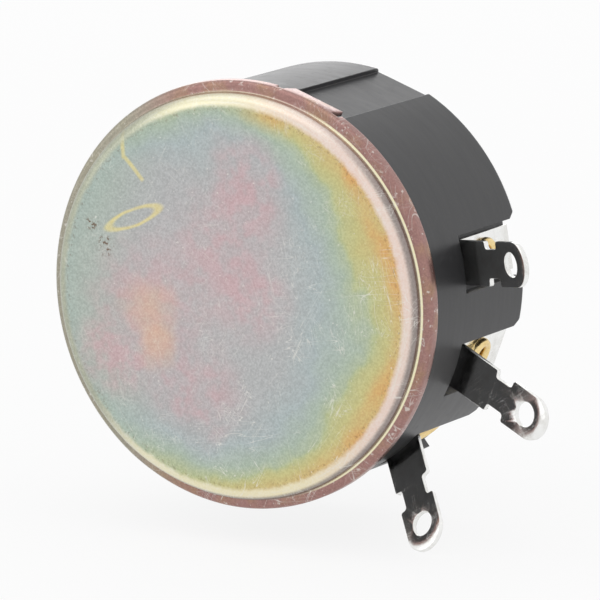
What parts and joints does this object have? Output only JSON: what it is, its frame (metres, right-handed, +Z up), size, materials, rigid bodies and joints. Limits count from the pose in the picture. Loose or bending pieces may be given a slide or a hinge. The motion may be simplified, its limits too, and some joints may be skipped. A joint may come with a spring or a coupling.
{
  "type": "rotary potentiometer",
  "caption": "Round wirewound rotary potentiometer with a plated rear cover, a black moulded housing, riveted solder lugs, a threaded bushing and a slotted shaft.",
  "frame": {"origin": "centre of the panel face, where the shaft axis meets the plane that lies against the panel", "axes": "+Y along the shaft towards the user's knob, the rear cover towards -Y, +Z up as in the picture"},
  "size_m": [0.0523, 0.0432, 0.0462],
  "materials": {
    "cover_plating": "yellow passivated zinc, iridescent",
    "phenolic": "black moulded phenolic, satin",
    "silvered": "silver-plated strip, scratched",
    "brass_rivet": "bright brass",
    "nickel": "nickel-plated, turned",
    "zinc_steel": "zinc-plated",
    "shaft_steel": "turned",
    "spring_steel": "blued",
    "fibre": "red-brown fibre",
    "hub_plastic": "brown moulded phenolic",
    "bronze": "spring bronze",
    "carbon": "graphite",
    "wire": "resistance wire"
  },
  "bodies": {
    "body": {"rear_cover": "cover_plating", "housing": "phenolic", "terminal_1": "silvered", "terminal_2": "silvered", "terminal_3": "silvered", "terminal_rivet_1": "brass_rivet", "terminal_rivet_2": "brass_rivet", "terminal_rivet_3": "brass_rivet", "bushing": "nickel", "lock_washer": "zinc_steel", "hex_nut": "nickel", "thrust_washer": "fibre", "winding_card": "fibre", "resistance_winding": "wire", "end_clamp_1": "bronze", "end_clamp_3": "bronze", "collector_spring": "bronze"},
    "rotor": {"shaft": "shaft_steel", "retaining_ring": "spring_steel", "rotor_hub": "hub_plastic", "slip_ring": "bronze", "wiper_arm": "bronze", "arm_washer": "zinc_steel", "contact_brush": "carbon"}
  },
  "joints": [
    {"name": "shaft_turn", "type": "hinge", "parent": "body", "child": "rotor", "pos_m": [0, 0, 0], "axis": [0, 1, 0], "range_deg": [-140, 140]}
  ]
}
